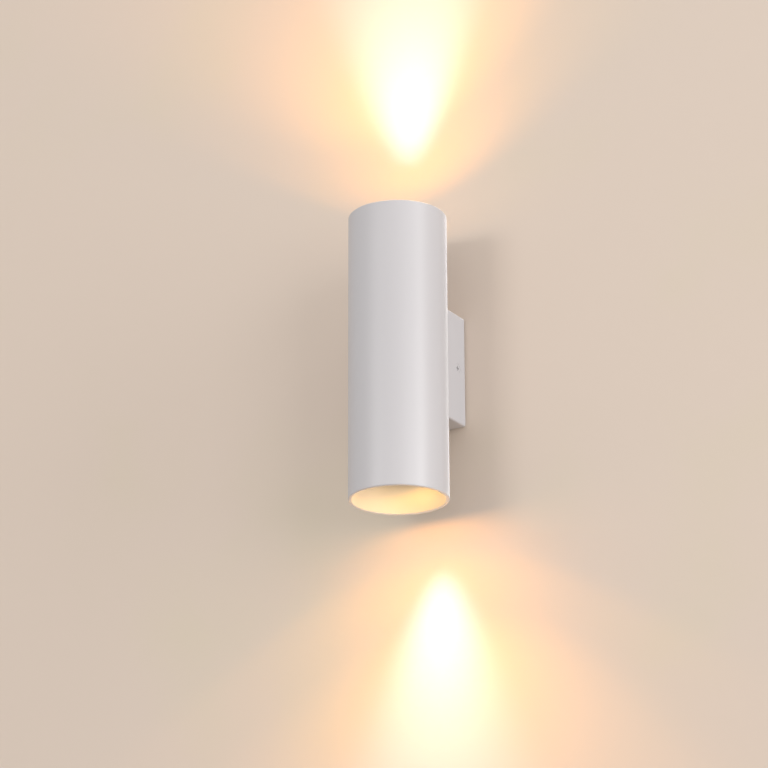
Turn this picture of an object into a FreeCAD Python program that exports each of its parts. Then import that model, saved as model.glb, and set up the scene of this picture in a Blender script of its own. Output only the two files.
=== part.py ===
"""Tube wall light, up and down: a painted tube on a shallow wall box, with two twist-lock lamps inside.

Millimetres, +Z up. The wall is the plane y = 0 and the light stands out from it towards -Y. The origin is the
centre of the mounting plate's back face. The tube's axis is upright, at y = -standoff.
"""

import FreeCAD
import Part

import os
from math import cos, pi, sin, tan

V = FreeCAD.Vector

# ---------------------------------------------------------------- driving dimensions

# Tube: a drawn aluminium pipe, open at both ends.
tube_length = 180.0
tube_diameter = 60.0
tube_wall = 2.0
tube_rim_round = 0.5

# Wall box: a shallow cast frame, scooped out in front to seat the tube.
box_width = 42.0
box_height = 70.0
box_wall = 2.0
box_corner_round = 1.2
box_edge_round = 0.4
shadow_gap = 0.8  # between the box's back edge and the wall
pad_thickness = 3.0  # the two saddle pads that the tube is screwed to
pad_margin = 0.6  # of a pad past its screw's washer, up and down
boss_margin = 0.4  # of a pad's round boss past the washer

# Mounting plate: folded steel, screwed to the wall first.
plate_thickness = 1.5
plate_clearance = 0.3  # to the box's inside, all round
plate_corner = 2.0
slot_width = 5.0
slot_length = 8.0
slot_end_margin = 2.7  # from a slot's end to the plate's end
cable_hole_diameter = 10.0
tab_height = 12.0
tab_margin = 4.0  # of the tab past the side screw's centre
relief_width = 1.0
relief_depth = 3.0

# Metric screws: shank, head, head height. Threads are plain cylinders.
m4_radius, m4_head_radius, m4_head_height = 2.0, 3.6, 2.4
m3_radius, m3_head_radius, m3_head_height = 1.5, 2.75, 1.8
m25_radius, m25_head_radius, m25_head_height = 1.25, 2.2, 1.5
thread_clearance = 0.05
hole_clearance = 0.25
washer_thickness = 0.8
washer_margin = 0.6  # of a washer past the screw's head
collar_wall = 1.3  # of a plunged thread collar
collar_height = 1.5
side_screw_depth = 9.5  # of the side screws' centres from the wall
side_screw_length = 6.0
sunk_head_radius = 2.9  # of the side screws, whose 90 degree heads are sunk in the box
sunk_head_edge = 0.25  # upright edge round such a head
sunk_depth = 0.1  # of its face below the box's side
body_screw_length = 10.0

# Terminal block: three poles, screwed to the mounting plate.
pole_pitch = 8.0
terminal_depth = 14.0  # along Z, from wire entry to wire entry
terminal_height = 11.5  # out from the plate
terminal_end_wall = 4.0  # past the centre of an outer pole
terminal_headroom = 2.0  # between the block and the tube
terminal_round = 0.8
wire_height = 6.0  # of the wire entries above the plate
sleeve_side = 4.6
sleeve_bore = 3.2
sleeve_inset = 1.5  # from the block's wire face to the brass
wire_stop = 1.0  # solid brass between the two wire ends
clamp_screw_length = 4.6
clamp_screw_spacing = 6.4
clamp_well_clearance = 0.4
funnel_growth = 0.6
terminal_screw_seat = 3.0  # below the block's front face
terminal_groove = 1.0  # between two poles, in the wire faces
clamp_slot_width = 0.6
clamp_slot_depth = 0.9
screw_tip_gap = 0.2  # of the screws in the plate, short of the wall

# Earth point on the plate.
earth_side_margin = 7.2  # from the earth screw's centre to the plate's side
earth_end_margin = 9.0  # and to its lower end
lug_thickness = 0.8
lug_margin = 1.7  # of the ring past its hole
lug_barrel_radius = 1.5
lug_barrel_length = 3.0
lug_neck_length = 3.9  # from the ring's centre to the barrel

# Lamp carrier: a rolled steel spine with two shelves, held by the two body screws.
spine_thickness = 1.5
spine_half_width = 8.0
spine_overrun = 5.0  # past the body screws' centres
core_half_gap = 7.0  # half the gap between the shelves
shelf_thickness = 1.5
shelf_half_width = 16.5
shelf_front = 9.5
shelf_back = 11.0
tail_opening_half_width = 10.5
tail_opening_half_depth = 3.0
lead_hole_radius = 3.6

# Lampholder: ceramic, twist-lock, two pins at 10 mm centres.
holder_height = 17.0
holder_half_width = 10.6
holder_half_depth = 8.5
holder_round = 4.0
ear_half_width = 16.0
ear_half_depth = 5.0
ear_height = 6.0
ear_screw_x = 13.5
holder_screw_length = 9.0
running_gap = 0.3  # round the pins and between lamp and holder
release_turn = 22.0  # degrees from locked to free
contact_thickness = 0.5
contact_gap = 0.1
contact_half_angle = 20.0
contact_length = 9.0
contact_tail_width = 2.4
crimp_radius = 1.25
crimp_length = 4.3
crimp_reach = 2.3  # past the holder's back, through the shelf

# Lamp: a reflector-shaped LED lamp, 50 mm across.
pin_spacing = 10.0
pin_neck_radius = 1.55
pin_neck_length = 4.9
pin_head_radius = 2.5
pin_head_length = 2.5
pin_root = 3.0
lamp_length = 46.0  # from the base's face to the front, without the pins
lamp_radius = 25.0
lamp_wall = 1.4
base_radius = 12.2
base_height = 7.0
base_flat = 9.5
base_chamfer = 1.5
collar_radius = 13.5
collar_rise = 2.5
bowl_shoulder = 6.5  # below the front, where the bowl reaches its full width
bowl_flare = 35.0  # degrees along its ellipse, where the bowl leaves the collar
board_depth = 12.0  # of the LED board behind the front
board_thickness = 1.2
board_ledge = 1.6
chip_side = 3.0
chip_height = 0.7
chip_circle = 9.0
chip_count = 6
driver_half_width = 8.0
driver_thickness = 1.6
driver_clearance = 2.0
driver_choke_radius = 3.2
driver_choke_length = 5.0
driver_cap_radius = 4.0
driver_cap_length = 12.0
bezel_width = 1.6
bezel_height = 2.4
lens_thickness = 1.8
lens_setback = 0.5
lens_crown = 0.9

# Leads: silicone-insulated wires.
lead_radius = 0.95
conductor_radius = 0.4
lead_pitch = 2.2  # of the four leads through the bush
lead_lane = 1.9  # of the leads above and below the middle of the tube
pole_lead_offset = 1.0
lead_clear_of_spine = 8.2
bare_end = 4.5
bend_share = 0.45  # of the shorter run, at most, taken by each bend
bend_reach = 6.0  # taken by a bend where the runs are long

# Bush: a rubber grommet through the tube's back and the spine.
bush_radius = 4.2
bush_wall = 1.05
bush_lip = 1.1
bush_lip_thickness = 1.2
bush_lip_dip = 0.4  # more thickness inside, where the spine curves away
bush_clearance = 0.4  # to the shelf above it

# ---------------------------------------------------------------- worked out from them

tube_radius = tube_diameter / 2
tube_bore = tube_radius - tube_wall
standoff = tube_radius + plate_thickness + terminal_height + terminal_headroom
axis_y = -standoff
tube_back = axis_y + tube_radius
plate_front = -plate_thickness
plate_half_width = box_width / 2 - box_wall - plate_clearance
plate_half_height = box_height / 2 - box_wall - plate_clearance
washer_radius = m4_head_radius + washer_margin
body_screw_z = box_height / 2 - box_wall - washer_radius - pad_margin
pad_inner_z = body_screw_z - washer_radius - pad_margin
boss_face = tube_back + pad_thickness
slot_z = plate_half_height - slot_end_margin - slot_length / 2
cable_hole_z = (terminal_depth / 2 + slot_z - slot_length / 2) / 2
spine_inner = tube_bore - spine_thickness
terminal_front = plate_front - terminal_height
wire_y = plate_front - wire_height
earth_screw_x = plate_half_width - earth_side_margin
earth_screw_z = earth_end_margin - plate_half_height
earth_seat = plate_front - collar_height
bush_reach = bush_radius + bush_lip
bundle_y = axis_y + spine_inner - lead_clear_of_spine - lead_pitch / 2
holder_back = core_half_gap + shelf_thickness
bush_z = -(holder_back + bush_clearance + bush_reach)
holder_face = holder_back + holder_height
base_face = holder_face + running_gap
lamp_front = base_face + lamp_length
pin_circle = pin_spacing / 2
ledge_thickness = pin_neck_length - 2 * running_gap
contact_radius = pin_circle + pin_head_radius + contact_gap
crimp_x = contact_radius + contact_thickness / 2
pole_centres = (-pole_pitch, 0.0, pole_pitch)

X, Y, Z = V(1, 0, 0), V(0, 1, 0), V(0, 0, 1)
AXIS = V(0, axis_y, 0)


# ---------------------------------------------------------------- small shapes


def block(x0, x1, y0, y1, z0, z1):
    return Part.makeBox(x1 - x0, y1 - y0, z1 - z0, V(x0, y0, z0))


def rod(radius, start, end):
    along = end - start
    return Part.makeCylinder(radius, along.Length, start, along)


def upright(radius, z0, z1, x=0.0, y=None):
    """An upright cylinder, on the tube's axis unless x and y say otherwise."""
    y = axis_y if y is None else y
    return rod(radius, V(x, y, z0), V(x, y, z1))


def sector(inner, outer, centre_angle, half_angle, z0, z1):
    """Part of a ring round the tube's axis. Angles in degrees from +X."""
    pie = [
        Part.makeCylinder(r, z1 - z0, V(0, axis_y, z0), Z, 2 * half_angle)
        for r in (outer, inner)
    ]
    ring = pie[0].cut(pie[1])
    ring.rotate(AXIS, Z, centre_angle - half_angle)
    return ring


def swept_slot(half_width, turn, z0, z1):
    """The space that a pin of that radius sweeps as the lamp turns from locked to free."""
    track = sector(pin_circle - half_width, pin_circle + half_width, turn / 2, turn / 2, z0, z1)
    ends = [upright(half_width, z0, z1, pin_circle), upright(half_width, z0, z1, pin_circle)]
    ends[1].rotate(AXIS, Z, turn)
    return track.fuse(ends).removeSplitter()


def lathe(profile):
    """A ring or disc turned round the tube's axis from (radius, height) points."""
    points = [V(r, axis_y, z) for r, z in profile]
    face = Part.Face(Part.makePolygon(points + points[:1]))
    return face.revolve(AXIS, Z, 360)


def opposite(shape):
    """The same shape half a turn round the tube's axis."""
    copy = shape.copy()
    copy.rotate(AXIS, Z, 180)
    return copy


def turned_over(shape):
    """The upper lamp's piece, turned over for the lower lamp."""
    copy = shape.copy()
    copy.rotate(AXIS, X, 180)
    return copy


def round_edges(shape, radius, wanted):
    edges = [e for e in shape.Edges if wanted(e)]
    return shape.makeFillet(radius, edges)


def runs_along(edge, direction):
    ends = [v.Point for v in edge.Vertexes]
    if len(ends) < 2 or type(edge.Curve) is not Part.Line:
        return False
    return (ends[1] - ends[0]).cross(direction).Length < 1e-6


def chamfered_shank(radius, length):
    """A screw's shank, down from the origin."""
    shank = Part.makeCylinder(radius, length, V(0, 0, -length))
    tip = 0.3 * radius
    return shank.makeChamfer(tip, [e for e in shank.Edges if e.BoundBox.ZMax < -length + 1e-6])


def cross_recess(screw, head_radius, deep, top):
    """Cuts a cross recess down from height top."""
    arm, half = 0.55 * head_radius, 0.13 * head_radius
    for across, along in ((arm, half), (half, arm)):
        screw = screw.cut(
            Part.makeBox(2 * across, 2 * along, 2 * deep, V(-across, -along, top - deep))
        )
    return screw


def pan_screw(radius, length, head_radius, head_height, seat, outwards):
    """A pan-head screw with a cross recess. seat is under the head, and outwards points out of it."""
    head = round_edges(
        Part.makeCylinder(head_radius, head_height),
        0.4 * head_height,
        lambda e: e.BoundBox.ZMin > head_height - 1e-6,
    )
    screw = head.fuse(chamfered_shank(radius, length)).removeSplitter()
    screw = cross_recess(screw, head_radius, 0.6 * head_height, head_height)
    screw.Placement = FreeCAD.Placement(seat, FreeCAD.Rotation(Z, outwards))
    return screw


def sunk_screw(radius, length, face, outwards):
    """A screw with a 90 degree countersunk head. face is the middle of its flat face."""
    edge, slope = sunk_head_edge, sunk_head_radius - radius
    head = Part.makeCylinder(sunk_head_radius, edge, V(0, 0, -edge))
    cone = Part.makeCone(radius, sunk_head_radius, slope, V(0, 0, -edge - slope))
    screw = head.fuse([cone, chamfered_shank(radius, length)]).removeSplitter()
    screw = cross_recess(screw, sunk_head_radius, 0.6 * (edge + slope), 0)
    screw.Placement = FreeCAD.Placement(face, FreeCAD.Rotation(Z, outwards))
    return screw


def countersink(hole_radius, surface, inwards):
    """The room of a sunk head, down to a hole of that radius."""
    mouth = sunk_head_radius + thread_clearance
    straight = sunk_depth + sunk_head_edge - thread_clearance
    start = surface + inwards * straight
    land = rod(mouth, surface - inwards, start)
    return land.fuse(Part.makeCone(mouth, hole_radius, mouth - hole_radius, start, inwards))


def wire_path(points):
    """Straight runs joined by tangent arcs, and the arcs' radii."""
    edges, radii, start = [], [], points[0]
    for before, corner, after in zip(points, points[1:], points[2:]):
        to_before, to_after = before - corner, after - corner
        reach = min(bend_reach, bend_share * to_before.Length, bend_share * to_after.Length)
        to_before.normalize()
        to_after.normalize()
        half_turn = (pi - to_before.getAngle(to_after)) / 2
        radius = reach / tan(half_turn)
        arc_start, arc_end = corner + to_before * reach, corner + to_after * reach
        inwards = (to_before + to_after).normalize()
        middle = corner + inwards * (radius / cos(half_turn) - radius)
        edges.append(Part.LineSegment(start, arc_start).toShape())
        edges.append(Part.Arc(arc_start, middle, arc_end).toShape())
        radii.append(radius)
        start = arc_end
    edges.append(Part.LineSegment(start, points[-1]).toShape())
    return Part.Wire(edges), radii


def insulated_wire(points):
    path, radii = wire_path(points)
    first_run = points[1] - points[0]
    outline = Part.Wire(Part.Circle(points[0], first_run, lead_radius).toShape())
    shell = Part.BRepOffsetAPI.MakePipeShell(path)
    shell.add(outline)
    shell.build()
    shell.makeSolid()
    wire = shell.shape()
    expected = pi * lead_radius**2 * path.Length
    print("lead of", round(path.Length, 1), "mm, bend radii", [round(r, 1) for r in radii])
    assert abs(wire.Volume / expected - 1) < 0.01, "a lead's volume is off"
    return wire


# ---------------------------------------------------------------- tube, wall box and plate


def body_screw_axes(radius):
    """Cylinders on the two body screws' lines, from the tube's axis to the wall."""
    return [rod(radius, V(0, axis_y, z), V(0, 0, z)) for z in (-body_screw_z, body_screw_z)]


def bush_axis(radius):
    return rod(radius, V(0, axis_y, bush_z), V(0, 0, bush_z))


def tube():
    half = tube_length / 2
    pipe = upright(tube_radius, -half, half).cut(upright(tube_bore, -half, half))
    rim_round = min(tube_rim_round, 0.45 * tube_wall)
    pipe = round_edges(pipe, rim_round, lambda e: type(e.Curve) is Part.Circle)
    return pipe.cut([*body_screw_axes(m4_radius + hole_clearance), bush_axis(bush_radius)])


def back_box():
    half_width, half_height = box_width / 2, box_height / 2
    outside = block(-half_width, half_width, axis_y, -shadow_gap, -half_height, half_height)
    outside = round_edges(outside, box_corner_round, lambda e: runs_along(e, Y))
    outside = round_edges(outside, box_edge_round, lambda e: e.BoundBox.YMin > -shadow_gap - 1e-6)
    inner_width, inner_height = half_width - box_wall, half_height - box_wall
    room = block(-inner_width, inner_width, axis_y, 0, -inner_height, inner_height)
    frame = outside.cut(room)
    into_wall = box_wall / 2
    web = upright(tube_radius + pad_thickness, -half_height, half_height)
    for side in (-1, 1):
        low, high = sorted((side * pad_inner_z, side * (inner_height + into_wall)))
        reach = inner_width + into_wall
        saddle = web.common(block(-reach, reach, axis_y, 0, low, high))
        centre = V(0, axis_y, side * body_screw_z)
        seat = rod(washer_radius + boss_margin, centre, centre + Y * (boss_face - axis_y))
        frame = frame.fuse([saddle, seat])
    scoop = upright(tube_radius, -half_height, half_height)
    side_hole = m3_radius + hole_clearance
    sides = [V(side * half_width, -side_screw_depth, 0) for side in (-1, 1)]
    side_holes = [rod(side_hole, *sides)]
    side_holes += [countersink(side_hole, sides[0], X), countersink(side_hole, sides[1], -X)]
    frame = frame.cut([scoop, *side_holes, *body_screw_axes(m4_radius + hole_clearance)])
    return frame.removeSplitter()


def screw_slot(z):
    """A wall-screw slot through the plate, upright, centred at height z."""
    radius, half_run = slot_width / 2, (slot_length - slot_width) / 2
    ends = [rod(radius, V(0, plate_front, z + s), V(0, 0, z + s)) for s in (-half_run, half_run)]
    middle = block(-radius, radius, plate_front, 0, z - half_run, z + half_run)
    return middle.fuse(ends).removeSplitter()


def mounting_plate():
    t = plate_thickness
    width, height = plate_half_width, plate_half_height
    plate = block(-width, width, -t, 0, -height, height)
    plate = round_edges(plate, plate_corner, lambda e: runs_along(e, Y))
    tab_reach = -(side_screw_depth + tab_margin)
    thread = m4_radius + thread_clearance
    for side in (-1, 1):
        outer, inner = side * width, side * (width - t)
        low, high = sorted((outer, inner))
        tab = block(low, high, tab_reach, 0, -tab_height / 2, tab_height / 2)
        centre = V(inner, -side_screw_depth, 0)
        collar = rod(m3_radius + collar_wall, centre, centre - X * side * collar_height)
        reliefs = [
            block(min(outer, outer - side * relief_depth), max(outer, outer - side * relief_depth),
                  -t, 0, z, z + relief_width)
            for z in (tab_height / 2, -tab_height / 2 - relief_width)
        ]
        plate = plate.cut(reliefs).fuse([tab, collar])
    side_threads = rod(
        m3_radius + thread_clearance,
        V(-width, -side_screw_depth, 0),
        V(width, -side_screw_depth, 0),
    )
    earth = V(earth_screw_x, 0, earth_screw_z)
    plate = plate.fuse(rod(m4_radius + collar_wall, earth, earth + Y * earth_seat))
    fixings = [
        rod(m25_radius + thread_clearance, V(x, plate_front, 0), V(x, 0, 0))
        for x in (-pole_pitch / 2, pole_pitch / 2)
    ]
    cable = V(0, 0, cable_hole_z)
    holes = [
        screw_slot(-slot_z),
        screw_slot(slot_z),
        rod(cable_hole_diameter / 2, cable, cable + Y * plate_front),
        rod(thread, earth, earth + Y * earth_seat),
        side_threads,
    ]
    return plate.cut(holes + fixings).removeSplitter()


def side_screws():
    """The two sunk screws in the box's sides that lock the light to its plate."""
    face_x = box_width / 2 - sunk_depth
    return [
        sunk_screw(m3_radius, side_screw_length, V(side * face_x, -side_screw_depth, 0), X * side)
        for side in (-1, 1)
    ]


def body_screw_washers():
    washers = []
    for z in (-body_screw_z, body_screw_z):
        seat, top = V(0, boss_face, z), V(0, boss_face + washer_thickness, z)
        hole = rod(m4_radius + hole_clearance, seat, top)
        washers.append(rod(washer_radius, seat, top).cut(hole))
    return washers


def body_screws():
    """The two screws that pull the box, the tube and the lamp carrier together."""
    return [
        pan_screw(m4_radius, body_screw_length, m4_head_radius, m4_head_height,
                  V(0, boss_face + washer_thickness, z), Y)
        for z in (-body_screw_z, body_screw_z)
    ]


# ---------------------------------------------------------------- terminal block and earth point


def terminal_block():
    half_depth = terminal_depth / 2
    half_width = pole_pitch + terminal_end_wall
    body = block(-half_width, half_width, terminal_front, plate_front, -half_depth, half_depth)
    body = round_edges(body, terminal_round, lambda e: runs_along(e, Y))
    cuts = []
    for x in pole_centres:
        centre = V(x, wire_y, 0)
        half, inset = sleeve_side / 2, half_depth - sleeve_inset
        cuts.append(block(x - half, x + half, wire_y - half, wire_y + half, -inset, inset))
        for side in (-1, 1):
            mouth, seat = centre + Z * side * half_depth, centre + Z * side * inset
            funnel = Part.makeCone(
                sleeve_bore / 2 + funnel_growth, sleeve_bore / 2, sleeve_inset, mouth, seat - mouth
            )
            well = V(x, wire_y, side * clamp_screw_spacing / 2)
            cuts.append(funnel)
            cuts.append(rod(m3_radius + clamp_well_clearance, well, V(x, terminal_front, well.z)))
    groove = terminal_groove / 2
    for x in (-pole_pitch / 2, pole_pitch / 2):
        for side in (-1, 1):
            edge = side * half_depth
            low, high = sorted((edge, edge - side * groove))
            cuts.append(block(x - groove, x + groove, terminal_front, plate_front, low, high))
        seat = V(x, terminal_front + terminal_screw_seat, 0)
        cuts.append(rod(m25_head_radius + thread_clearance, V(x, terminal_front, 0), seat))
        cuts.append(rod(m25_radius + thread_clearance, seat, V(x, plate_front, 0)))
    return body.cut(cuts)


def terminal_sleeves():
    """Three brass sleeves, each with a blind hole from either end and two tapped clamp holes."""
    sleeves = []
    half, inset = sleeve_side / 2, terminal_depth / 2 - sleeve_inset
    for x in pole_centres:
        sleeve = block(x - half, x + half, wire_y - half, wire_y + half, -inset, inset)
        for side in (-1, 1):
            stop, mouth = V(x, wire_y, side * wire_stop / 2), V(x, wire_y, side * inset)
            tapped = V(x, wire_y, side * clamp_screw_spacing / 2)
            sleeve = sleeve.cut([
                rod(sleeve_bore / 2, stop, mouth),
                rod(m3_radius + thread_clearance, tapped, tapped - Y * sleeve_side),
            ])
        sleeves.append(sleeve)
    return sleeves


def terminal_clamp_screws():
    """Six slotted clamp screws: tight on the light's own leads below, and backed off for the supply above."""
    tight, open_ = wire_y - conductor_radius, wire_y - sleeve_bore / 2
    screws = []
    for x in pole_centres:
        for z, tip in ((-clamp_screw_spacing / 2, tight), (clamp_screw_spacing / 2, open_)):
            top = tip - clamp_screw_length
            screw = rod(m3_radius, V(x, tip, z), V(x, top, z))
            half = clamp_slot_width / 2
            slot = block(
                x - m3_radius, x + m3_radius, top, top + clamp_slot_depth, z - half, z + half
            )
            screws.append(screw.cut(slot))
    return screws


def terminal_fixing_screws():
    seat = terminal_front + terminal_screw_seat
    length = -seat - screw_tip_gap
    return [
        pan_screw(m25_radius, length, m25_head_radius, m25_head_height, V(x, seat, 0), -Y)
        for x in (-pole_pitch / 2, pole_pitch / 2)
    ]


def earth_lug():
    """A crimped ring terminal under the earth screw, its barrel pointing up."""
    seat = V(earth_screw_x, earth_seat, earth_screw_z)
    top = seat - Y * lug_thickness
    hole = m4_radius + hole_clearance
    ring = rod(hole + lug_margin, seat, top)
    barrel_foot = V(earth_screw_x, earth_seat - lug_thickness / 2, earth_screw_z + lug_neck_length)
    barrel = rod(lug_barrel_radius, barrel_foot, barrel_foot + Z * lug_barrel_length)
    strap = block(
        earth_screw_x - lug_barrel_radius, earth_screw_x + lug_barrel_radius,
        top.y, seat.y, earth_screw_z, barrel_foot.z + lug_barrel_length / 2,
    )
    return ring.fuse([strap, barrel]).cut(rod(hole, seat, top)).removeSplitter()


def earth_washer():
    seat = V(earth_screw_x, earth_seat - lug_thickness, earth_screw_z)
    top = seat - Y * washer_thickness
    return rod(m4_head_radius, seat, top).cut(rod(m4_radius + hole_clearance, seat, top))


def earth_screw():
    seat = V(earth_screw_x, earth_seat - lug_thickness - washer_thickness, earth_screw_z)
    length = -seat.y - screw_tip_gap
    return pan_screw(m4_radius, length, m4_head_radius, m4_head_height, seat, -Y)


# ---------------------------------------------------------------- lamp carrier, holders and bush


def shelf(side):
    low, high = sorted((side * core_half_gap, side * holder_back))
    pad = block(-shelf_half_width, shelf_half_width, axis_y - shelf_front, axis_y + shelf_back, low, high)
    pad = round_edges(pad, shelf_thickness, lambda e: runs_along(e, Z))
    into_spine = axis_y + spine_inner + spine_thickness / 2
    neck = block(-spine_half_width, spine_half_width, axis_y, into_spine, low, high)
    opening = block(
        -tail_opening_half_width, tail_opening_half_width,
        axis_y - tail_opening_half_depth, axis_y + tail_opening_half_depth, low, high,
    )
    threads = [upright(m3_radius + thread_clearance, low, high, x) for x in (-ear_screw_x, ear_screw_x)]
    inside = upright(tube_bore, low, high)
    return pad.fuse(neck).common(inside).removeSplitter().cut([opening, *threads])


def lamp_carrier():
    half = body_screw_z + spine_overrun
    wall = upright(tube_bore, -half, half).cut(upright(spine_inner, -half, half))
    spine = wall.common(block(-spine_half_width, spine_half_width, axis_y, 0, -half, half))
    thread = m4_radius + thread_clearance
    collar_face = axis_y + spine_inner - collar_height
    into_spine = axis_y + spine_inner + spine_thickness / 2
    collars = [
        rod(m4_radius + collar_wall, V(0, collar_face, z), V(0, into_spine, z))
        for z in (-body_screw_z, body_screw_z)
    ]
    carrier = spine.fuse([shelf(1), shelf(-1), *collars])
    lead_hole = upright(lead_hole_radius, -holder_back, -core_half_gap, 0, bundle_y)
    return carrier.cut([lead_hole, bush_axis(bush_radius), *body_screw_axes(thread)]).removeSplitter()


def lead_bush():
    """A grommet whose two lips follow the tube's outside and the spine's inside."""
    inner_lip_end = axis_y + spine_inner - bush_lip_thickness - bush_lip_dip
    outer_lip_end = tube_back + bush_lip_thickness
    whole = rod(bush_reach, V(0, inner_lip_end, bush_z), V(0, outer_lip_end, bush_z))
    wall = upright(tube_radius, bush_z - bush_reach, bush_z + bush_reach)
    wall = wall.cut(upright(spine_inner, bush_z - bush_reach, bush_z + bush_reach))
    bush = whole.cut(wall.cut(bush_axis(bush_radius)))
    return bush.cut(bush_axis(bush_radius - bush_wall)).removeSplitter()


def lamp_holder():
    """Ceramic body with two keyhole tracks for the lamp's pins, a pocket for each contact, and two ears."""
    top = holder_face
    body = block(
        -holder_half_width, holder_half_width,
        axis_y - holder_half_depth, axis_y + holder_half_depth, holder_back, top,
    )
    body = round_edges(body, holder_round, lambda e: runs_along(e, Z))
    ears = block(
        -ear_half_width, ear_half_width,
        axis_y - ear_half_depth, axis_y + ear_half_depth, holder_back, holder_back + ear_height,
    )
    ears = round_edges(ears, holder_round / 2, lambda e: runs_along(e, Z))
    ledge = top - ledge_thickness
    floor = base_face - pin_neck_length - pin_head_length - 2 * running_gap
    neck_track = swept_slot(pin_neck_radius + running_gap, release_turn, ledge, top)
    head_room = swept_slot(pin_head_radius + running_gap, release_turn, floor, ledge)
    entry = upright(pin_head_radius + running_gap, ledge, top, pin_circle)
    entry.rotate(AXIS, Z, release_turn)
    pocket_low = ledge - contact_length - running_gap
    pocket_outer = contact_radius + contact_thickness + contact_gap
    pocket = sector(contact_radius - contact_gap, pocket_outer, 0,
                    contact_half_angle + 2, pocket_low, ledge)
    tail_slot = block(
        contact_radius - contact_gap, pocket_outer,
        axis_y - contact_tail_width / 2 - contact_gap, axis_y + contact_tail_width / 2 + contact_gap,
        holder_back, pocket_low + running_gap,
    )
    crimp_room = upright(crimp_radius + running_gap, holder_back,
                         holder_back + crimp_length - crimp_reach + running_gap, crimp_x)
    one_side = [neck_track, head_room, entry, pocket, tail_slot, crimp_room]
    cuts = one_side + [opposite(s) for s in one_side]
    cuts += [
        upright(m3_radius + hole_clearance, holder_back, holder_back + ear_height, x)
        for x in (-ear_screw_x, ear_screw_x)
    ]
    return body.fuse(ears).removeSplitter().cut(cuts)


def holder_contacts():
    """A sprung leaf beside each pin, with a tail down to the crimp that holds the lead."""
    top = holder_face - ledge_thickness - running_gap
    low = holder_face - ledge_thickness - contact_length
    leaf = sector(contact_radius, contact_radius + contact_thickness, 0, contact_half_angle, low, top)
    crimp_foot = holder_back - crimp_reach
    half = contact_tail_width / 2
    tail = block(
        contact_radius, contact_radius + contact_thickness,
        axis_y - half, axis_y + half, crimp_foot + crimp_length / 2, low + 1,
    )
    crimp = upright(crimp_radius, crimp_foot, crimp_foot + crimp_length, crimp_x)
    contact = leaf.fuse([tail, crimp]).removeSplitter()
    return [contact, opposite(contact)]


def holder_screws():
    return [
        pan_screw(m3_radius, holder_screw_length, m3_head_radius, m3_head_height,
                  V(x, axis_y, holder_back + ear_height), Z)
        for x in (-ear_screw_x, ear_screw_x)
    ]


# ---------------------------------------------------------------- lamp


def lamp_pins():
    neck = upright(pin_neck_radius, base_face - pin_neck_length, base_face + pin_root, pin_circle)
    head_top = base_face - pin_neck_length
    head = upright(pin_head_radius, head_top - pin_head_length, head_top, pin_circle)
    head = round_edges(head, 0.3 * pin_head_length, lambda e: e.BoundBox.ZMax < head_top - 1e-3)
    pin = neck.fuse(head).removeSplitter()
    return [pin, opposite(pin)]


def lamp_base():
    z0, z1 = base_face, base_face + base_height
    base = lathe([(0, z0), (base_radius - base_chamfer, z0), (base_radius, z0 + base_chamfer),
                  (base_radius, z1), (0, z1)])
    keep = block(-base_radius, base_radius, axis_y - base_flat, axis_y + base_flat, z0, z1)
    base = base.common(keep)
    sockets = [upright(pin_neck_radius, z0, z0 + pin_root, x) for x in (-pin_circle, pin_circle)]
    return base.cut(sockets)


def bowl_outline(offset):
    """Points up the bowl's wall, drawn in by offset: part of an ellipse, from the collar to the shoulder."""
    foot, shoulder = base_face + base_height + collar_rise, lamp_front - bowl_shoulder
    growth, rise = lamp_radius - collar_radius, shoulder - foot
    start = bowl_flare * pi / 180
    points = []
    steps = 12
    for i in range(steps + 1):
        angle = start + i / steps * (pi / 2 - start)
        outwards = (sin(angle) - sin(start)) / (1 - sin(start))
        upwards = (cos(start) - cos(angle)) / cos(start)
        points.append((collar_radius - offset + growth * outwards, foot + rise * upwards))
    return points


def board_level():
    """Height of the LED board's back face, and the radius of the bowl's inside there."""
    level = lamp_front - board_depth
    inner = bowl_outline(lamp_wall)
    for (r0, z0), (r1, z1) in zip(inner, inner[1:]):
        if z0 <= level <= z1:
            return level, r0 + (r1 - r0) * (level - z0) / (z1 - z0)
    return level, inner[-1][0]


def lamp_housing():
    foot = base_face + base_height
    seat = lamp_front - bezel_height
    level, board_radius = board_level()
    inner = bowl_outline(lamp_wall)
    below = [p for p in inner if p[1] < level - board_ledge - 1e-6]
    above = [p for p in inner if p[1] > level + 1e-6]
    outside = [(0, foot), (collar_radius, foot), *bowl_outline(0), (lamp_radius, seat)]
    ledge = [(board_radius, level), (board_radius - board_ledge, level),
             (board_radius - board_ledge, level - board_ledge)]
    inside = [(lamp_radius - lamp_wall, seat), *reversed(above), *ledge,
              *[p for p in reversed(below) if p[0] < board_radius - board_ledge],
              (collar_radius - lamp_wall, foot + lamp_wall), (0, foot + lamp_wall)]
    return lathe(outside + inside)


def lamp_board():
    level, radius = board_level()
    return upright(radius, level, level + board_thickness)


def lamp_chips():
    level = board_level()[0] + board_thickness
    half = chip_side / 2
    chip = block(-half, half, axis_y - half, axis_y + half, level, level + chip_height)
    chips = [chip]
    for i in range(chip_count):
        angle = 2 * pi * i / chip_count
        moved = chip.copy()
        moved.translate(V(chip_circle * cos(angle), chip_circle * sin(angle), 0))
        chips.append(moved)
    return chips


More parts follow.
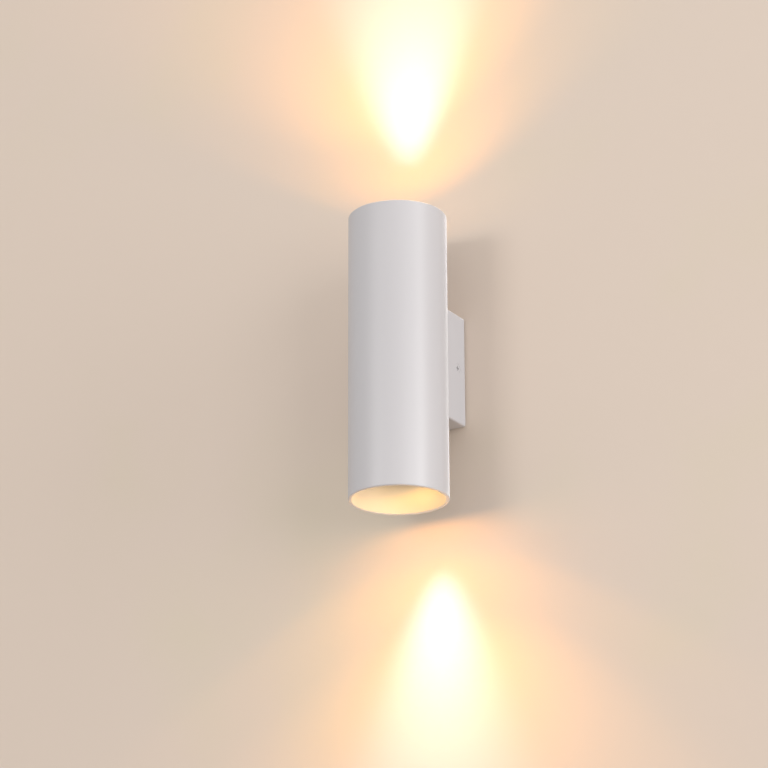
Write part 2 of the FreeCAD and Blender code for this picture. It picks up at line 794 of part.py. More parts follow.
def lamp_driver():
    """The driver board on edge behind the LED board, with a choke and a capacitor on it."""
    low = base_face + base_height + lamp_wall
    high = board_level()[0] - driver_clearance
    half = driver_thickness / 2
    board = block(-driver_half_width, driver_half_width, axis_y - half, axis_y + half, low, high)
    middle = (low + high) / 2
    choke_foot, cap_foot = V(0, axis_y + half, middle), V(0, axis_y - half - driver_cap_radius, middle)
    choke = rod(driver_choke_radius, choke_foot, choke_foot + Y * driver_choke_length)
    cap = rod(driver_cap_radius, cap_foot - Z * driver_cap_length / 2, cap_foot + Z * driver_cap_length / 2)
    return [board, choke, cap]


def lamp_bezel():
    top, low = lamp_front, lamp_front - bezel_height
    outer, inner = lamp_radius, lamp_radius - bezel_width
    ring = lathe([(outer, low), (outer, top), (inner, top), (inner, low)])
    return round_edges(ring, 0.25 * bezel_height,
                       lambda e: type(e.Curve) is Part.Circle and e.BoundBox.ZMin > top - 1e-6)


def lamp_lens():
    """A disc inside the bezel, slightly crowned on its front."""
    radius = lamp_radius - bezel_width
    edge = lamp_front - lens_setback - lens_crown
    back = edge - lens_thickness + lens_crown
    bulge = (radius**2 + lens_crown**2) / (2 * lens_crown)
    centre = V(0, axis_y, edge + lens_crown - bulge)
    disc = upright(radius, back, edge + lens_crown)
    return disc.common(Part.makeSphere(bulge, centre))


# ---------------------------------------------------------------- leads


def lead(level, side, pole, offset):
    """One lead, from a holder's crimp through the bush to a pole of the terminal block.

    level is 1 for the upper holder and -1 for the lower, side is the crimp's side in x, pole is the
    pole's x and offset is where the wire end lies in it.
    """
    crimp = V(side * crimp_x, axis_y, level * (holder_back - crimp_reach))
    lane = level * lead_lane
    column = V(side * lead_pitch / 2, bundle_y + level * lead_pitch / 2, lane)
    through = bush_z + level * lead_pitch / 2
    past_bush = tube_back + bush_lip_thickness + lead_radius
    end_x = pole + offset
    entry = V(end_x, wire_y, -terminal_depth / 2)
    points = [crimp, V(crimp.x, axis_y, lane), column, V(column.x, column.y, through)]
    if abs(end_x - column.x) > lead_radius:
        points.append(V(column.x, past_bush, through))
    points += [V(end_x, wire_y, through), entry]
    bare = rod(conductor_radius, entry, entry + Z * bare_end)
    return [insulated_wire(points), bare]


def earth_lead():
    """From the earth pole down to the lug's barrel."""
    entry = V(pole_pitch, wire_y, -terminal_depth / 2)
    lug_y = earth_seat - lug_thickness / 2
    barrel_top = V(earth_screw_x, lug_y, earth_screw_z + lug_neck_length + lug_barrel_length)
    drop = (entry.z - barrel_top.z) / 3
    points = [entry, entry - Z * drop, barrel_top + Z * drop, barrel_top]
    bare = rod(conductor_radius, entry, entry + Z * bare_end)
    return [insulated_wire(points), bare]


# ---------------------------------------------------------------- all the nodes


def all_nodes():
    nodes = {
        "tube": tube(),
        "back_box": back_box(),
        "mounting_plate": mounting_plate(),
        "side_screws": side_screws(),
        "body_screws": body_screws(),
        "body_screw_washers": body_screw_washers(),
        "terminal_block": terminal_block(),
        "terminal_sleeves": terminal_sleeves(),
        "terminal_clamp_screws": terminal_clamp_screws(),
        "terminal_fixing_screws": terminal_fixing_screws(),
        "earth_lug": earth_lug(),
        "earth_washer": earth_washer(),
        "earth_screw": earth_screw(),
        "earth_lead": earth_lead(),
        "lamp_carrier": lamp_carrier(),
        "lead_bush": lead_bush(),
    }
    upper = {
        "lamp_holder": lamp_holder(),
        "holder_contacts": holder_contacts(),
        "holder_screws": holder_screws(),
        "lamp_pins": lamp_pins(),
        "lamp_base": lamp_base(),
        "lamp_housing": lamp_housing(),
        "lamp_driver": lamp_driver(),
        "lamp_board": lamp_board(),
        "lamp_chips": lamp_chips(),
        "lamp_bezel": lamp_bezel(),
        "lamp_lens": lamp_lens(),
    }
    for name, shapes in upper.items():
        shapes = shapes if isinstance(shapes, list) else [shapes]
        nodes["upper_" + name] = shapes
        nodes["lower_" + name] = [turned_over(s) for s in shapes]
    live, neutral = pole_centres[0], pole_centres[1]
    nodes["upper_live_lead"] = lead(1, -1, live, pole_lead_offset)
    nodes["lower_live_lead"] = lead(-1, -1, live, -pole_lead_offset)
    nodes["upper_neutral_lead"] = lead(1, 1, neutral, pole_lead_offset)
    nodes["lower_neutral_lead"] = lead(-1, 1, neutral, -pole_lead_offset)
    return nodes


def main():
    os.makedirs("parts", exist_ok=True)
    for name, shapes in all_nodes().items():
        shapes = shapes if isinstance(shapes, list) else [shapes]
        solids = [solid for shape in shapes for solid in shape.Solids]
        whole = solids[0] if len(solids) == 1 else Part.makeCompound(solids)
        assert whole.isValid() and whole.Volume > 0, name + " isn't a sound solid"
        whole.exportStep("parts/" + name + ".step")
        size = whole.BoundBox
        print(f"{name:24s} {len(solids)} solids {whole.Volume:10.1f} mm3 "
              f"{size.XLength:6.1f} {size.YLength:6.1f} {size.ZLength:6.1f}")


main()
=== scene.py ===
"""Tube wall light, up and down: the looks of its pieces, and the room it is seen in.

Metres, +Z up. The wall's face is at y = 0 and the light stands out from it towards -Y.
"""

from math import cos, pi, radians, sin, tan

import bpy
import numpy as np
from mathutils import Matrix, Vector


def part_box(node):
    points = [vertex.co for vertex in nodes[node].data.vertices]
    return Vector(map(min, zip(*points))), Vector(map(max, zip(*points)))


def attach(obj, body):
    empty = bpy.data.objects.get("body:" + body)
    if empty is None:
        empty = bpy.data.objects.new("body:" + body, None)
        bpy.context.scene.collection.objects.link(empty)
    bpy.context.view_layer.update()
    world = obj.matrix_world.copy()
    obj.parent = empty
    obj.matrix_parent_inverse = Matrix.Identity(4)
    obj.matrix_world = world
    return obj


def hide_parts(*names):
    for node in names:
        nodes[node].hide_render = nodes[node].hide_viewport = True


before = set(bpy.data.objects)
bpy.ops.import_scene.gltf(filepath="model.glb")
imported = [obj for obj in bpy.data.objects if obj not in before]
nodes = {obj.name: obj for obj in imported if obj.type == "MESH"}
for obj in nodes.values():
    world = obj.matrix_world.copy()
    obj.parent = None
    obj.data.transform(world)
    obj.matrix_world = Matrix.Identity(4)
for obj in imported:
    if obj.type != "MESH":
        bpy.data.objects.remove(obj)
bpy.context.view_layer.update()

# ---------------------------------------------------------------- mounting plate
# A folded steel plate, screwed to the wall first. It is blanked and folded from
# rolled strip and zinc plated, so it shows faint rolling lines and a cloudy blue
# and straw tint.


class Value:
    """A number in a finish. Arithmetic on it adds Math nodes."""

    def __init__(self, finish, socket):
        self.finish, self.socket = finish, socket

    def math(self, operation, *numbers):
        return self.finish.node(
            "ShaderNodeMath", {"operation": operation}, dict(enumerate((self, *numbers)))
        )

    def flipped(self, operation, number):
        return self.finish.node(
            "ShaderNodeMath", {"operation": operation}, {0: number, 1: self}
        )

    def __add__(self, other):
        return self.math("ADD", other)

    def __radd__(self, other):
        return self.flipped("ADD", other)

    def __sub__(self, other):
        return self.math("SUBTRACT", other)

    def __rsub__(self, other):
        return self.flipped("SUBTRACT", other)

    def __mul__(self, other):
        return self.math("MULTIPLY", other)

    def __abs__(self):
        return self.math("ABSOLUTE")

    def sine(self):
        return self.math("SINE")

    def least(self, other):
        return self.math("MINIMUM", other)

    def most(self, other):
        return self.math("MAXIMUM", other)

    def over(self, edge, blur):
        """0 below edge and 1 above it, turning over smoothly across blur."""
        return self.finish.node(
            "ShaderNodeMapRange",
            {"interpolation_type": "SMOOTHSTEP"},
            {"Value": self, "From Min": edge - blur / 2, "From Max": edge + blur / 2},
        )


class Finish:
    """A material made of nodes round one Principled shader."""

    def __init__(self, name, **constants):
        self.material = bpy.data.materials.new(name)
        self.material.use_nodes = True
        self.tree = self.material.node_tree
        self.shader = self.tree.nodes["Principled BSDF"]
        for socket, value in constants.items():
            self.shader.inputs[socket.replace("_", " ")].default_value = value
        self.place = self.node("ShaderNodeTexCoord", {}, {}, "Object")

    def node(self, kind, settings, sockets, output=0):
        """Adds a node: its settings first, then the values or links of its sockets."""
        made = self.tree.nodes.new(kind)
        for setting, value in settings.items():
            setattr(made, setting, value)
        for socket, value in sockets.items():
            if isinstance(value, Value):
                self.tree.links.new(value.socket, made.inputs[socket])
            else:
                made.inputs[socket].default_value = value
        return Value(self, made.outputs[output])

    def stretched(self, scale):
        """Object coordinates times a scale for each axis, per metre."""
        return self.node("ShaderNodeMapping", {}, {"Vector": self.place, "Scale": scale})

    def noise(self, scale, detail=2.0, along=None):
        """Smooth noise from 0 to 1, with scale cells to the metre."""
        return self.node(
            "ShaderNodeTexNoise", {},
            {"Vector": along or self.place, "Scale": scale, "Detail": detail},
        )

    def cells(self, scale, feature="F1", output="Distance"):
        """Distances or colours of scattered cells, with scale cells to the metre."""
        return self.node(
            "ShaderNodeTexVoronoi", {"feature": feature},
            {"Vector": self.place, "Scale": scale}, output,
        )

    def axis(self, letter):
        """One of the object coordinates, in metres."""
        return self.node("ShaderNodeSeparateXYZ", {}, {0: self.place}, letter)

    def blend(self, share, first, second):
        """Colour first where share is 0, and second where it is 1."""
        colours = [c if isinstance(c, Value) else (*c, 1.0) for c in (first, second)]
        return self.node(
            "ShaderNodeMix", {"data_type": "RGBA"}, {0: share, 6: colours[0], 7: colours[1]}, 2
        )

    def bumps(self, height, depth, under=None):
        """A normal for a height from 0 to 1, depth metres deep."""
        sockets = {"Height": height, "Distance": depth, "Strength": 1.0}
        if under:
            sockets["Normal"] = under
        return self.node("ShaderNodeBump", {}, sockets)

    def show(self, **links):
        """Feeds the shader's sockets and gives the finished material."""
        for socket, value in links.items():
            self.tree.links.new(value.socket, self.shader.inputs[socket.replace("_", " ")])
        return self.material


def srgb(red, green, blue):
    """A colour read as 0 to 255, in linear light."""
    levels = np.array((red, green, blue)) / 255
    linear = np.where(levels > 0.04045, ((levels + 0.055) / 1.055) ** 2.4, levels / 12.92)
    return tuple(float(v) for v in linear)


def finish_nodes(material, *names):
    """Gives CAD pieces their finish and leaves their shapes alone."""
    for name in names:
        slots = nodes[name].data.materials
        slots.clear()
        slots.append(material)


def zinc_finish(name, rolled, tint):
    """Bright zinc over steel: rolling lines along one axis, and clouds of tint."""
    f = Finish(name, Metallic=1.0)
    lines = f.noise(1.0, 3.0, along=f.stretched(rolled))
    clouds = f.noise(70.0, 3.0)
    grain = f.noise(2600.0, 1.0)
    colour = f.blend(clouds.over(0.5, 0.5), srgb(196, 200, 207), tint)
    colour = f.blend(lines * 0.25, colour, srgb(150, 153, 158))
    return f.show(
        Base_Color=colour,
        Roughness=0.24 + clouds * 0.14 + lines * 0.10,
        Normal=f.bumps(lines * 0.6 + grain * 0.4, 4e-6),
    )


plate_zinc = zinc_finish("plate_zinc", (2600, 2600, 90), srgb(205, 200, 182))
finish_nodes(plate_zinc, "mounting_plate")

# ---------------------------------------------------------------- terminal block
# A three-pole block moulded in milky nylon, screwed to the plate, with a brass
# sleeve in each pole. Moulded nylon is faintly cloudy and has a fine spark-eroded
# texture.


def nylon_finish():
    f = Finish("terminal_nylon", IOR=1.53)
    cloud = f.noise(160.0, 3.0)
    spark = f.noise(5200.0, 2.0)
    return f.show(
        Base_Color=f.blend(cloud.over(0.5, 0.5), srgb(236, 236, 230), srgb(226, 226, 216)),
        Roughness=0.42 + spark * 0.16,
        Normal=f.bumps(spark, 8e-6),
    )


finish_nodes(nylon_finish(), "terminal_block")


def brass_finish():
    """Drawn brass with fine lines along one axis and a little tarnish."""
    f = Finish("terminal_brass", Metallic=1.0)
    drawn = f.noise(1.0, 3.0, along=f.stretched((3500, 3500, 160)))
    tarnish = f.noise(240.0, 4.0)
    colour = f.blend(tarnish.over(0.56, 0.3), srgb(222, 186, 110), srgb(186, 144, 78))
    return f.show(
        Base_Color=colour,
        Roughness=0.22 + drawn * 0.16 + tarnish * 0.1,
        Normal=f.bumps(drawn, 3e-6),
    )


finish_nodes(brass_finish(), "terminal_sleeves")

screw_zinc = zinc_finish("screw_zinc", (900, 900, 900), srgb(212, 208, 196))
finish_nodes(screw_zinc, "terminal_clamp_screws", "terminal_fixing_screws")

# ---------------------------------------------------------------- earth point
# A tapped collar in the plate takes the earth screw, its washer and a crimped
# ring terminal. The terminal is tin-coloured nickel plate on brass.


def nickel_finish():
    f = Finish("nickel_plate", Metallic=1.0)
    clouds = f.noise(500.0, 3.0)
    grain = f.noise(4200.0, 2.0)
    return f.show(
        Base_Color=f.blend(clouds.over(0.5, 0.5), srgb(208, 202, 188), srgb(190, 184, 168)),
        Roughness=0.18 + grain * 0.16,
        Normal=f.bumps(grain, 2e-6),
    )


nickel = nickel_finish()
finish_nodes(nickel, "earth_lug")
finish_nodes(screw_zinc, "earth_washer", "earth_screw")

# ---------------------------------------------------------------- tube and wall box
# The tube is drawn aluminium pipe and the box a shallow casting, both in a satin
# off-white powder coat. The coat levels out with a faint orange peel, and has
# the fine grit of the powder in it.


def powder_coat(name, colour, shade):
    f = Finish(name, IOR=1.5, Specular_IOR_Level=0.7)
    peel = f.noise(620.0, 2.0)
    grit = f.noise(4800.0, 2.0)
    drift = f.noise(9.0, 2.0)
    specks = f.cells(900.0).over(0.035, 0.03)
    body = f.blend(drift.over(0.5, 0.6), colour, shade)
    body = f.blend((1 - specks) * 0.12, body, srgb(176, 172, 168))
    return f.show(
        Base_Color=body,
        Roughness=0.35 + grit * 0.06 + drift * 0.05,
        Normal=f.bumps(grit, 3e-6, under=f.bumps(peel, 9e-6)),
    )


off_white = powder_coat("powder_coat", srgb(200, 196, 197), srgb(197, 193, 194))
finish_nodes(off_white, "tube", "back_box", "side_screws")

# ---------------------------------------------------------------- body screws
# Two M4 screws and their washers pull the box, the tube and the lamp carrier
# together from behind. They are zinc plated.

finish_nodes(screw_zinc, "body_screws", "body_screw_washers")

# ---------------------------------------------------------------- lamp carrier
# A rolled steel spine with two shelves. It is bent from hot-dip galvanised
# sheet, so its zinc has frozen into flat crystals.


def galvanised_finish():
    f = Finish("galvanised_sheet", Metallic=1.0)
    crystal = f.cells(210.0, output="Color")
    level = f.node("ShaderNodeSeparateColor", {}, {0: crystal}, 0)
    frost = f.noise(1500.0, 3.0)
    return f.show(
        Base_Color=f.blend(level, srgb(172, 178, 184), srgb(204, 208, 212)),
        Roughness=0.30 + level * 0.18 + frost * 0.08,
        Normal=f.bumps(frost, 5e-6),
    )


finish_nodes(galvanised_finish(), "lamp_carrier")

# ---------------------------------------------------------------- lead bush
# A black rubber grommet through the tube's back and the spine, where the four
# leads pass. Moulded rubber is matt and blooms to grey.


def rubber_finish():
    f = Finish("bush_rubber", IOR=1.5)
    bloom = f.noise(420.0, 4.0)
    grain = f.noise(5200.0, 2.0)
    return f.show(
        Base_Color=f.blend(bloom.over(0.58, 0.3), srgb(30, 30, 31), srgb(58, 57, 56)),
        Roughness=0.66 + bloom * 0.2,
        Normal=f.bumps(grain, 9e-6),
    )


finish_nodes(rubber_finish(), "lead_bush")

# ---------------------------------------------------------------- lampholders
# Pressed and fired steatite, unglazed, with a sprung contact beside each pin
# track and a screw through each ear. The surface is chalky with tiny pits.


def steatite_finish():
    f = Finish("steatite", IOR=1.6)
    pits = f.cells(1500.0).over(0.16, 0.12)
    flow = f.noise(130.0, 4.0)
    grain = f.noise(3300.0, 3.0)
    colour = f.blend(flow.over(0.5, 0.5), srgb(237, 232, 220), srgb(226, 220, 205))
    colour = f.blend((1 - pits) * 0.4, colour, srgb(190, 180, 160))
    return f.show(
        Base_Color=colour,
        Roughness=0.62 + grain * 0.2,
        Normal=f.bumps(pits * 0.5 + grain * 0.5, 1.6e-5),
    )


steatite = steatite_finish()
for level in ("upper", "lower"):
    finish_nodes(steatite, f"{level}_lamp_holder")
    finish_nodes(nickel, f"{level}_holder_contacts")
    finish_nodes(screw_zinc, f"{level}_holder_screws")

# ---------------------------------------------------------------- leads
# Silicone-insulated wires from each holder's crimps through the bush to the
# terminal block, brown for live and blue for neutral, and a green earth lead.
# Extruded silicone is satin, slightly uneven and a little dusty.


def silicone_finish(name, colour, dusted):
    f = Finish(name, IOR=1.42)
    dust = f.noise(380.0, 3.0)
    skin = f.noise(2400.0, 2.0)
    return f.show(
        Base_Color=f.blend(dust.over(0.6, 0.3), colour, dusted),
        Roughness=0.38 + dust * 0.18,
        Normal=f.bumps(skin, 8e-6),
    )


silicone_brown = silicone_finish("silicone_brown", srgb(112, 66, 38), srgb(132, 92, 66))
silicone_blue = silicone_finish("silicone_blue", srgb(44, 98, 168), srgb(88, 128, 180))
for level in ("upper", "lower"):
    finish_nodes(silicone_brown, f"{level}_live_lead")
    finish_nodes(silicone_blue, f"{level}_neutral_lead")
finish_nodes(silicone_finish("silicone_green", srgb(62, 138, 52), srgb(110, 160, 90)), "earth_lead")

# ---------------------------------------------------------------- lamps
# Each lamp is a moulded satin-white bowl on a base with two headed pins. Inside
# are the driver board and a white board with seven light sources, and in front
# a lens inside a ring.


def lamp_plastic_finish():
    f = Finish("lamp_plastic", IOR=1.5)
    spark = f.noise(4200.0, 2.0)
    flow = f.noise(60.0, 2.0)
    return f.show(
        Base_Color=f.blend(flow.over(0.5, 0.6), srgb(240, 240, 236), srgb(234, 233, 228)),
        Roughness=0.30 + spark * 0.12,
        Normal=f.bumps(spark, 6e-6),
    )


tube_axis_y = -0.045


def from_tube_axis(f):
    """X and Y of a piece, measured from the tube's axis."""
    return f.axis("X"), f.axis("Y") - tube_axis_y


def driver_finish():
    """Green board, dark capacitor in front of it and copper-wound choke behind it."""
    half_board, edge_blur, winding_pitch = 0.00085, 0.0001, 0.0005
    f = Finish("driver_board", IOR=1.5)
    back_and_front = from_tube_axis(f)[1]
    traces = f.cells(420.0, feature="DISTANCE_TO_EDGE").over(0.06, 0.03)
    board = f.blend(traces, srgb(96, 150, 96), srgb(36, 92, 52))
    turns = (f.axis("Y") * (2 * pi / winding_pitch)).sine() * 0.5 + 0.5
    choke = f.blend(turns, srgb(120, 62, 28), srgb(196, 120, 66))
    sleeve = f.blend(f.noise(900.0).over(0.6, 0.2), srgb(28, 30, 44), srgb(52, 54, 66))
    colour = f.blend(back_and_front.over(half_board, edge_blur), board, choke)
    colour = f.blend(back_and_front.over(-half_board, edge_blur), sleeve, colour)
    return f.show(Base_Color=colour, Roughness=0.32 + f.noise(1200.0) * 0.2)


def board_finish():
    """White solder mask with copper tracks under it in rings."""
    ring_pitch = 0.0035
    f = Finish("light_board", IOR=1.5)
    x, y = from_tube_axis(f)
    out = (x * x + y * y).math("SQRT")
    rings = (out * (2 * pi / ring_pitch)).sine().over(0.55, 0.15)
    return f.show(
        Base_Color=f.blend(rings, srgb(236, 236, 232), srgb(222, 220, 210)),
        Roughness=0.30 + f.noise(2500.0) * 0.12,
        Normal=f.bumps(rings, 3e-5),
    )


def chip_finish():
    """A yellow phosphor square in a white package, on each of the seven places."""
    circle, half_side, edge_blur = 0.009, 0.0011, 0.0001
    f = Finish("light_source", IOR=1.5, Emission_Strength=0.6)
    x, y = from_tube_axis(f)
    turns = [i * pi / 3 for i in range(6)]
    middles = [(0.0, 0.0)] + [(circle * cos(turn), circle * sin(turn)) for turn in turns]
    nearest = None
    for mx, my in middles:
        away = abs(x - mx).most(abs(y - my))
        nearest = away if nearest is None else nearest.least(away)
    package = nearest.over(half_side, edge_blur)
    grain = f.noise(9000.0, 2.0)
    phosphor = f.blend(grain, srgb(250, 214, 96), srgb(240, 190, 70))
    return f.show(
        Base_Color=f.blend(package, phosphor, srgb(240, 240, 236)),
        Emission_Color=f.blend(package, srgb(255, 220, 150), (0.0, 0.0, 0.0)),
        Roughness=0.45 + grain * 0.2,
    )


lamp_plastic = lamp_plastic_finish()
driver_green, board_white, light_source = driver_finish(), board_finish(), chip_finish()
for level in ("upper", "lower"):
    finish_nodes(nickel, f"{level}_lamp_pins")
    finish_nodes(lamp_plastic, *(f"{level}_lamp_{part}" for part in ("base", "housing", "bezel")))
    finish_nodes(driver_green, f"{level}_lamp_driver")
    finish_nodes(board_white, f"{level}_lamp_board")
    finish_nodes(light_source, f"{level}_lamp_chips")

# ---------------------------------------------------------------- lenses
# Each lamp's front is a moulded clear lens, frosted, with rings of small pillow
# shapes that spread the light. It is slightly crowned and drops into the ring
# in front.


def closed_grid(name, points):
    """A mesh from a grid of points (rows, columns, 3), closed round its columns, and each end row
    drawn together on its mean point."""
    rows, columns = points.shape[:2]
    row, column = np.meshgrid(np.arange(rows - 1), np.arange(columns), indexing="ij")
    following = (column + 1) % columns
    quads = np.stack(
        [row * columns + column, row * columns + following,
         (row + 1) * columns + following, (row + 1) * columns + column], axis=-1
    ).reshape(-1, 4)
    first, last = rows * columns, rows * columns + 1
    around = np.arange(columns)
    beyond = (around + 1) % columns
    base = (rows - 1) * columns
    start = np.stack([np.full(columns, first), beyond, around], axis=-1)
    end = np.stack([np.full(columns, last), base + around, base + beyond], axis=-1)
    corners = np.vstack([points.reshape(-1, 3), points[0].mean(0), points[-1].mean(0)])
    mesh = bpy.data.meshes.new(name)
    mesh.from_pydata(corners.tolist(), [], [*quads.tolist(), *start.tolist(), *end.tolist()])
    mesh.validate()
    piece = bpy.data.objects.new(name, mesh)
    bpy.context.scene.collection.objects.link(piece)
    return piece


def pillow_lens(name, low, high, side):
    """A crowned disc. Its front is a parabola of the radius plus, in each ring of cells, a pillow
    of height (1 - u^2)(1 - v^2), u across the ring and v along it, both from -1 to 1 in a cell."""
    centre = (low + high) / 2
    radius = (high.x - low.x) / 2
    thick = high.z - low.z
    crown, pillow, bevel, hair = 0.0009, 0.00026, 0.00015, 1e-5
    steps, columns, patterned = 6, 288, 0.965
    cell_counts = np.array([1, 6, 12, 18, 24, 36, 36, 48, 48])
    ring_width = radius * patterned / (len(cell_counts) - 0.5)
    ring_edges = (np.arange(len(cell_counts) + 1) - 0.5).clip(0) * ring_width
    radii = np.concatenate(
        [np.linspace(a, b, steps, endpoint=False) for a, b in zip(ring_edges, ring_edges[1:])]
        + [[ring_edges[-1]], np.linspace(ring_edges[-1], radius, 4)[1:]]
    )[1:]
    turn = np.arange(columns) * 2 * pi / columns
    r, a = np.meshgrid(radii, turn, indexing="ij")
    ring = np.searchsorted(ring_edges[1:-1], r, side="right")
    inner, outer = ring_edges[ring], ring_edges[ring + 1]
    across = np.clip((r - inner) / (outer - inner) * 2 - 1, -1, 1)
    across = np.where(ring == 0, r / ring_edges[1], across)
    along = (a / (2 * pi) * cell_counts[ring]) % 1 * 2 - 1
    along = np.where(ring == 0, 0.0, along)
    bulge = np.where(r <= ring_edges[-1], (1 - across**2) * (1 - along**2), 0.0)
    height = thick - crown * (r / radius) ** 2 - pillow * (1 - bulge)
    front = np.stack([r * np.cos(a), r * np.sin(a), height], axis=-1)
    rim_height = front[-1, 0, 2]
    rows = [(radius - hair, rim_height - hair), (radius, rim_height - bevel), (radius, bevel),
            (radius - bevel, 0.0), (radius * 0.5, 0.0), (radius * 0.1, 0.0)]
    edge = np.array([[(q * cos(t), q * sin(t), h) for t in turn] for q, h in rows])
    points = np.concatenate([front, edge])[::-1]
    if side < 0:
        points = points[:, ::-1] * np.array([1, 1, -1])
        foot = high.z
    else:
        foot = low.z
    return closed_grid(name, points + np.array([centre.x, centre.y, foot]))


def lens_finish(side):
    """Frosted clear plastic, lit from behind: palest in the middle, warmer towards the ring."""
    glow_edge, glow_blur = 0.011, 0.022
    level_name = "upper" if side > 0 else "lower"
    f = Finish(f"lens_frost_{level_name}", IOR=1.49, Emission_Strength=0.5)
    x, y = from_tube_axis(f)
    out = (x * x + y * y).math("SQRT")
    glow = 1 - out.over(glow_edge, glow_blur)
    frost = f.noise(3800.0, 2.0)
    return f.show(
        Base_Color=f.blend(frost, srgb(244, 238, 226), srgb(236, 228, 212)),
        Emission_Color=f.blend(glow, srgb(255, 206, 132), srgb(255, 238, 200)),
        Roughness=0.28 + frost * 0.14,
        Normal=f.bumps(frost, 5e-6),
    )


for level, side in (("upper", 1), ("lower", -1)):
    low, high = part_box(f"{level}_lamp_lens")
    lens = pillow_lens(f"{level}_pillow_lens", low, high, side)
    lens.data.materials.append(lens_finish(side))
    lens.data.polygons.foreach_set("use_smooth", [True] * len(lens.data.polygons))
    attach(lens, f"{level}_lamp")
    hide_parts(f"{level}_lamp_lens")

# ---------------------------------------------------------------- the room
# A plain pale wall and floor, soft studio light from the right and a little from
# the left, and the glow that the two lamps throw on the wall. None of it is part
# of the wall light. Wall and floor are clear from behind, so any side is seen.


def plaster(name, colour, stain, bounce):
    """Matt plaster, faintly stained. What it throws back on the light is a neutral grey."""
    f = Finish(name, IOR=1.45, Roughness=0.9, Specular_IOR_Level=0.15)
    stained = f.blend(f.noise(5.0, 3.0).over(0.60, 0.25) * 0.6, colour, stain)
    seen = [f.node("ShaderNodeLightPath", {}, {}, f"Is {kind} Ray")
            for kind in ("Camera", "Glossy", "Transmission")]
    direct = seen[0].most(seen[1]).most(seen[2])
    f.show(Base_Color=f.blend(direct, bounce, stained), Normal=f.bumps(f.noise(120.0, 3.0), 6e-5))
    front = Value(f, f.shader.outputs[0])
    clear = f.node("ShaderNodeBsdfTransparent", {}, {})
    behind = f.node("ShaderNodeNewGeometry", {}, {}, "Backfacing")
    either = f.node("ShaderNodeMixShader", {}, {0: behind, 1: front, 2: clear})
    f.tree.links.new(either.socket, f.tree.nodes["Material Output"].inputs["Surface"])
    return f.material


def flat_sheet(name, corners, material):
    mesh = bpy.data.meshes.new(name)
    mesh.from_pydata(corners, [], [list(range(len(corners)))])
    mesh.materials.append(material)
    sheet = bpy.data.objects.new(name, mesh)
    bpy.context.scene.collection.objects.link(sheet)
    return sheet


wall_y, floor_z, half_wall, ceiling_z, room_depth = 0.0004, -1.3, 3.0, 2.4, 4.0
grey_bounce = (0.385, 0.37, 0.36)
wall = flat_sheet(
    "wall",
    [(-half_wall, wall_y, floor_z), (half_wall, wall_y, floor_z),
     (half_wall, wall_y, ceiling_z), (-half_wall, wall_y, ceiling_z)],
    plaster("plaster_wall", srgb(224, 207, 192), srgb(221, 208, 185), grey_bounce),
)
floor = flat_sheet(
    "floor",
    [(-half_wall, -room_depth, floor_z), (half_wall, -room_depth, floor_z),
     (half_wall, wall_y, floor_z), (-half_wall, wall_y, floor_z)],
    plaster("pale_floor", srgb(226, 220, 212), srgb(222, 216, 208), grey_bounce),
)


def linked_to(name, state, *members):
    """A collection that a light includes or excludes."""
    group = bpy.data.collections.new(name)
    for member in members:
        group.objects.link(member)
    for entry in group.collection_objects:
        entry.light_linking.link_state = state
    return group


def lamp_light(kind, name, place, aim, power, colour, **settings):
    """A Blender light at place, turned to face aim and not seen itself."""
    data = bpy.data.lights.new(name, kind)
    data.energy, data.color = power, colour
    for setting, value in settings.items():
        setattr(data, setting, value)
    light = bpy.data.objects.new(name, data)
    light.location = place
    light.rotation_euler = (Vector(aim) - Vector(place)).to_track_quat("-Z", "Y").to_euler()
    light.visible_camera = False
    bpy.context.scene.collection.objects.link(light)
    return light


def from_angles(azimuth, elevation, distance):
    """A point round the tube's middle. Azimuth 0 is in front of the wall, and 90 is to the right."""
    a, e = radians(azimuth), radians(elevation)
    along = distance * cos(e)
    return (along * sin(a), tube_axis_y - along * cos(a), distance * sin(e))


# Rows: azimuth and elevation in degrees, distance in metres, power in watts, width and height in
# metres. Wall and floor don't stop the light from behind, which is there for views of the back.
middle = (0.0, tube_axis_y, 0.0)
studio = (
    ("right_key", 56, 1, 2.4, 10.0, 0.75, 1.4),
    ("right_wash", 85, 3, 2.4, 36.0, 1.0, 1.8),
    ("left_front", -19, 6, 3.0, 15.5, 1.1, 0.9),
    ("behind", 196, 28, 2.0, 12.0, 1.2, 1.4),
)
for name, azimuth, elevation, distance, power, width, height in studio:
    light = lamp_light("AREA", name, from_angles(azimuth, elevation, distance), middle, power,
                       (1.0, 1.0, 1.0), shape="RECTANGLE", size=width, size_y=height)
    if azimuth > 90:
        clear_of = linked_to(f"clear_of_{name}", "EXCLUDE", wall, floor)
        light.light_linking.blocker_collection = clear_of

# Each lamp's beams light the wall through the tube's open end, whose rim cuts them off. Rows: place
# and lean to the side in millimetres and degrees, half angle, how much wider along the wall, power.
orange, core, rust = (1.0, 0.45, 0.0), (1.0, 0.69, 1.0), (1.0, 0.48, 0.13)
beams = {
    "upper": ((-2.9, -6.6, 46.4, 1.79, 1.36, orange), (-2.3, -8.4, 27.3, 2.19, 5.1, orange),
              (-14.8, -0.9, 32.7, 0.64, 3.5, core)),
    "lower": ((2.0, 0.0, 52.5, 2.76, 0.76, orange), (12.1, -0.8, 31.6, 2.34, 2.7, orange),
              (4.8, -2.0, 44.7, 0.50, 1.95, core)),
}
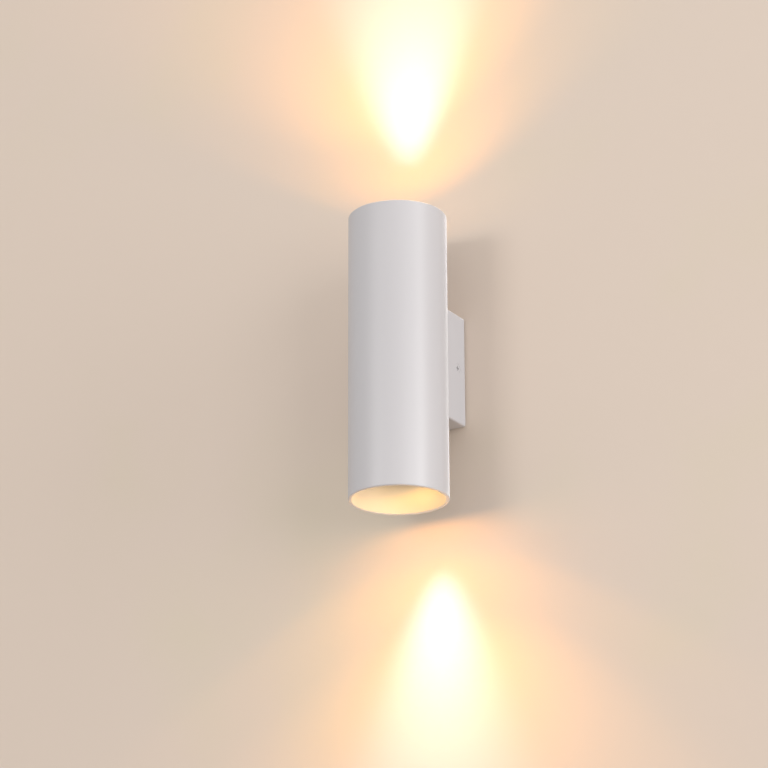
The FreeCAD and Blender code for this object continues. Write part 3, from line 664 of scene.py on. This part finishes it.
# A spill at the rim starts each glow at the tube's end. Two lamps at the lens light the tube's inside,
# each leaning to one side, and a bounce stands for the light that the wall throws back. Metres, watts.
spills = {"upper": (0.018, 0.003), "lower": (0.001, 0.036)}
spill_y, spill_z, spill_aim_z, spill_size = -0.066, 0.083, 0.096, 0.024
insides = (("cream", -0.45, 0.0205, (1.0, 0.76, 0.36)), ("amber", 0.35, 0.0170, (1.0, 0.44, 0.0)))
inside_size, lens_gap, beam_source = 0.044, 0.0005, 0.003
bounce_y, bounce_z, bounce_aim_z, bounce_size = -0.003, 0.150, 0.105, 0.080
bounce_power, bounce_colour = 0.08, (1.0, 0.76, 0.50)
only_the_wall = linked_to("lit_by_beams", "INCLUDE", wall)
not_the_wall = linked_to("lit_inside", "EXCLUDE", wall)
for level, side in (("upper", 1), ("lower", -1)):
    low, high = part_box(f"{level}_lamp_lens")
    front = (high.z if side > 0 else low.z) + side * lens_gap
    for i, (across, lean, half_angle, widen, power, colour) in enumerate(beams[level]):
        place = (across / 1000, tube_axis_y, front)
        aim = (place[0] + tan(radians(lean)), place[1], front + side)
        beam = lamp_light("SPOT", f"{level}_beam_{i}", place, aim, power, colour,
                          spot_size=radians(2 * half_angle), spot_blend=1.0,
                          shadow_soft_size=beam_source)
        turn = Matrix(((1, 0, 0), (0, side, 0), (0, 0, side))) @ Matrix.Rotation(pi, 3, "X")
        beam.rotation_euler = (Matrix.Rotation(side * radians(lean), 3, "Y") @ turn).to_euler()
        beam.scale = (widen, 1.0, 1.0)
        beam.light_linking.receiver_collection = only_the_wall
    across, power = spills[level]
    spill = lamp_light("AREA", f"{level}_spill", (across, spill_y, side * spill_z),
                       (across, 0.0, side * spill_aim_z), power, rust,
                       shape="DISK", size=spill_size)
    spill.light_linking.receiver_collection = only_the_wall
    for kind, lean, power, colour in insides:
        inside = lamp_light("AREA", f"{level}_{kind}", (0.0, tube_axis_y, front),
                            (lean, tube_axis_y, front + side), power, colour,
                            shape="DISK", size=inside_size)
        inside.light_linking.receiver_collection = not_the_wall
    bounce = lamp_light("AREA", f"{level}_bounce", (0.0, bounce_y, side * bounce_z),
                        (0.0, tube_axis_y, side * bounce_aim_z), bounce_power, bounce_colour,
                        shape="DISK", size=bounce_size)
    bounce.light_linking.receiver_collection = not_the_wall

world = bpy.data.worlds.new("studio")
world.use_nodes = True
surround = world.node_tree.nodes["Background"]
surround.inputs["Color"].default_value = (1.0, 1.0, 1.0, 1.0)
surround.inputs["Strength"].default_value = 0.745
bpy.context.scene.world = world

# The camera stands to the right of the light and below it, and looks up, as in the photograph.
frame_width, focal_pixels, sensor = 768, 2750.0, 36.0
azimuth, elevation, roll = radians(31.1), radians(20.05), radians(-0.18)
distance, seen_x, seen_y = 1.650, 398.1, 357.15
ahead = Vector((-sin(azimuth) * cos(elevation), cos(azimuth) * cos(elevation), sin(elevation)))
right = Vector((cos(azimuth), sin(azimuth), 0.0))
up = right.cross(ahead)
right, up = cos(roll) * right + sin(roll) * up, cos(roll) * up - sin(roll) * right
aside = (seen_x - frame_width / 2) / focal_pixels * distance
lifted = -(seen_y - frame_width / 2) / focal_pixels * distance
camera_data = bpy.data.cameras.new("camera")
camera_data.lens, camera_data.sensor_width = focal_pixels * sensor / frame_width, sensor
camera = bpy.data.objects.new("camera", camera_data)
camera.matrix_world = Matrix.Translation(
    Vector(middle) - distance * ahead - aside * right - lifted * up
) @ Matrix((right, up, -ahead)).transposed().to_4x4()
bpy.context.scene.collection.objects.link(camera)
bpy.context.scene.camera = camera
bpy.context.scene.view_settings.view_transform = "Standard"
